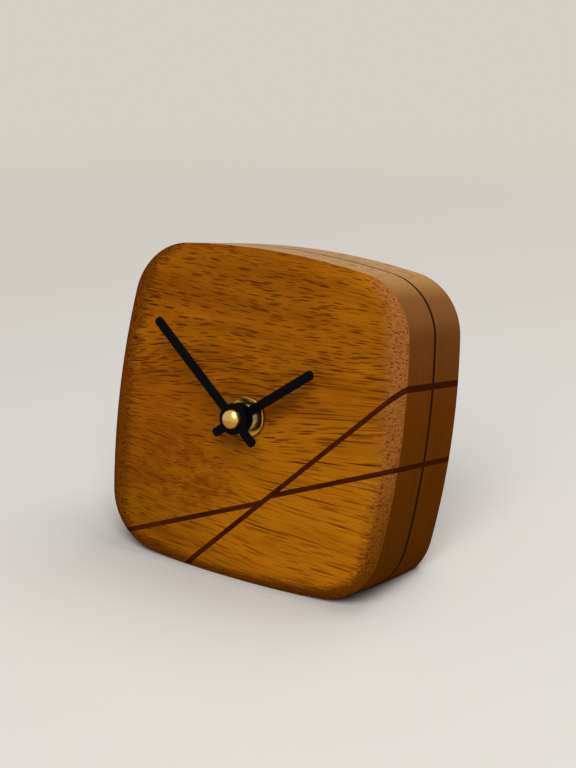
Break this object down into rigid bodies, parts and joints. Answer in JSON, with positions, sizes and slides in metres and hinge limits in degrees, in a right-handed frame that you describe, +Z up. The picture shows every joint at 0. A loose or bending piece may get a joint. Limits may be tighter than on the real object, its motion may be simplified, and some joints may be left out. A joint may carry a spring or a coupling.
{
  "type": "desk clock",
  "caption": "Small leaning desk clock: a rounded wooden block with inlaid strips, black baton hands, brass nuts and a battery movement in a pocket at the back.",
  "frame": {"origin": "on the base flat, in the middle of its width and of its depth", "axes": "+X to the right as seen from the front, -Y out of the front towards the viewer, +Z up"},
  "size_m": [0.1, 0.0605, 0.0966],
  "materials": {
    "body_wood": "oiled satin, open grain",
    "seam_veneer": "oiled satin",
    "strip_wood": "oiled satin",
    "hand_black": "matte",
    "brass": "polished",
    "rubber": "matte",
    "wheel_plastic": "moulded",
    "steel": "bright",
    "case_plastic": "fine spark texture",
    "bridge_plastic": "moulded",
    "magnet": "sintered",
    "core_iron": "stamped",
    "copper_wire": "enamelled wire",
    "board_resin": "lacquered",
    "chip_resin": "glossy blob",
    "can_metal": "satin",
    "cell_jacket": "glossy sleeve with a plain band",
    "contact_metal": "nickel plated"
  },
  "bodies": {
    "clock_body": {"front_board_upper": "body_wood", "front_board_left": "body_wood", "front_board_right": "body_wood", "front_board_lower": "body_wood", "back_board_upper": "body_wood", "back_board_left": "body_wood", "back_board_right": "body_wood", "back_board_lower": "body_wood", "seam_veneer_upper": "seam_veneer", "seam_veneer_left": "seam_veneer", "seam_veneer_right": "seam_veneer", "seam_veneer_lower": "seam_veneer", "inlay_strip_steep": "strip_wood", "inlay_strip_shallow_left": "strip_wood", "inlay_strip_shallow_right": "strip_wood", "mounting_nut": "brass", "threaded_bush": "brass", "rubber_washer": "rubber", "movement_front_shell": "case_plastic", "movement_rear_shell": "case_plastic", "train_bridge": "bridge_plastic", "stator": "core_iron", "coil_core": "core_iron", "coil_bobbin": "bridge_plastic", "coil_winding": "copper_wire", "circuit_board": "board_resin", "circuit_chip": "chip_resin", "quartz_crystal": "can_metal", "contact_positive": "contact_metal", "contact_negative": "contact_metal"},
    "minute_works": {"minute_pipe": "brass", "minute_hand": "hand_black", "cap_nut": "brass"},
    "hour_works": {"hour_wheel": "wheel_plastic", "hour_hand": "hand_black"},
    "motion_works": {"motion_wheel": "wheel_plastic"},
    "setting_works": {"setting_arbor": "steel", "setting_knob": "case_plastic"},
    "centre_works": {"centre_wheel": "wheel_plastic", "clutch_spring": "steel"},
    "third_works": {"third_wheel": "wheel_plastic"},
    "seconds_works": {"seconds_wheel": "wheel_plastic"},
    "intermediate_works": {"intermediate_wheel": "wheel_plastic"},
    "rotor_works": {"rotor_pinion": "steel", "rotor_magnet": "magnet"},
    "cell": {"battery": "cell_jacket"}
  },
  "joints": [
    {"name": "minute_turn", "type": "hinge", "parent": "clock_body", "child": "minute_works", "pos_m": [0, 0.00458, 0.04547], "axis": [0, 0.9711, -0.2385], "continuous": true},
    {"name": "hour_turn", "type": "hinge", "parent": "clock_body", "child": "hour_works", "pos_m": [0, 0.00458, 0.04547], "axis": [0, 0.9711, -0.2385], "continuous": true},
    {"name": "motion_turn", "type": "hinge", "parent": "clock_body", "child": "motion_works", "pos_m": [0.00779, 0.00565, 0.04984], "axis": [0, 0.9711, -0.2385], "continuous": true},
    {"name": "setting_turn", "type": "hinge", "parent": "clock_body", "child": "setting_works", "pos_m": [0.0171, 0.00604, 0.05144], "axis": [0, 0.9711, -0.2385], "continuous": true},
    {"name": "seconds_turn", "type": "hinge", "parent": "clock_body", "child": "seconds_works", "pos_m": [0, 0.00458, 0.04547], "axis": [0, 0.9711, -0.2385], "continuous": true},
    {"name": "third_turn", "type": "hinge", "parent": "clock_body", "child": "third_works", "pos_m": [-0.0106, 0.00604, 0.05142], "axis": [0, 0.9711, -0.2385], "continuous": true},
    {"name": "centre_turn", "type": "hinge", "parent": "clock_body", "child": "centre_works", "pos_m": [0, 0.00458, 0.04547], "axis": [0, 0.9711, -0.2385], "continuous": true},
    {"name": "intermediate_turn", "type": "hinge", "parent": "clock_body", "child": "intermediate_works", "pos_m": [-0.0012, 0.00621, 0.0521], "axis": [0, 0.9711, -0.2385], "continuous": true},
    {"name": "rotor_turn", "type": "hinge", "parent": "clock_body", "child": "rotor_works", "pos_m": [0.00213, 0.00758, 0.0577], "axis": [0, 0.9711, -0.2385], "continuous": true},
    {"name": "battery_slide", "type": "slide", "parent": "clock_body", "child": "cell", "axis": [0, 0.9711, -0.2385], "range_m": [0, 0.032]}
  ],
  "couplings": [
    {"joint": "hour_turn", "follows": "minute_turn", "ratio": 0.083333},
    {"joint": "motion_turn", "follows": "minute_turn", "ratio": -0.33333},
    {"joint": "setting_turn", "follows": "minute_turn", "ratio": 0.83333},
    {"joint": "third_turn", "follows": "seconds_turn", "ratio": -0.13333},
    {"joint": "centre_turn", "follows": "seconds_turn", "ratio": 0.016667},
    {"joint": "intermediate_turn", "follows": "seconds_turn", "ratio": -6},
    {"joint": "rotor_turn", "follows": "seconds_turn", "ratio": 30}
  ]
}
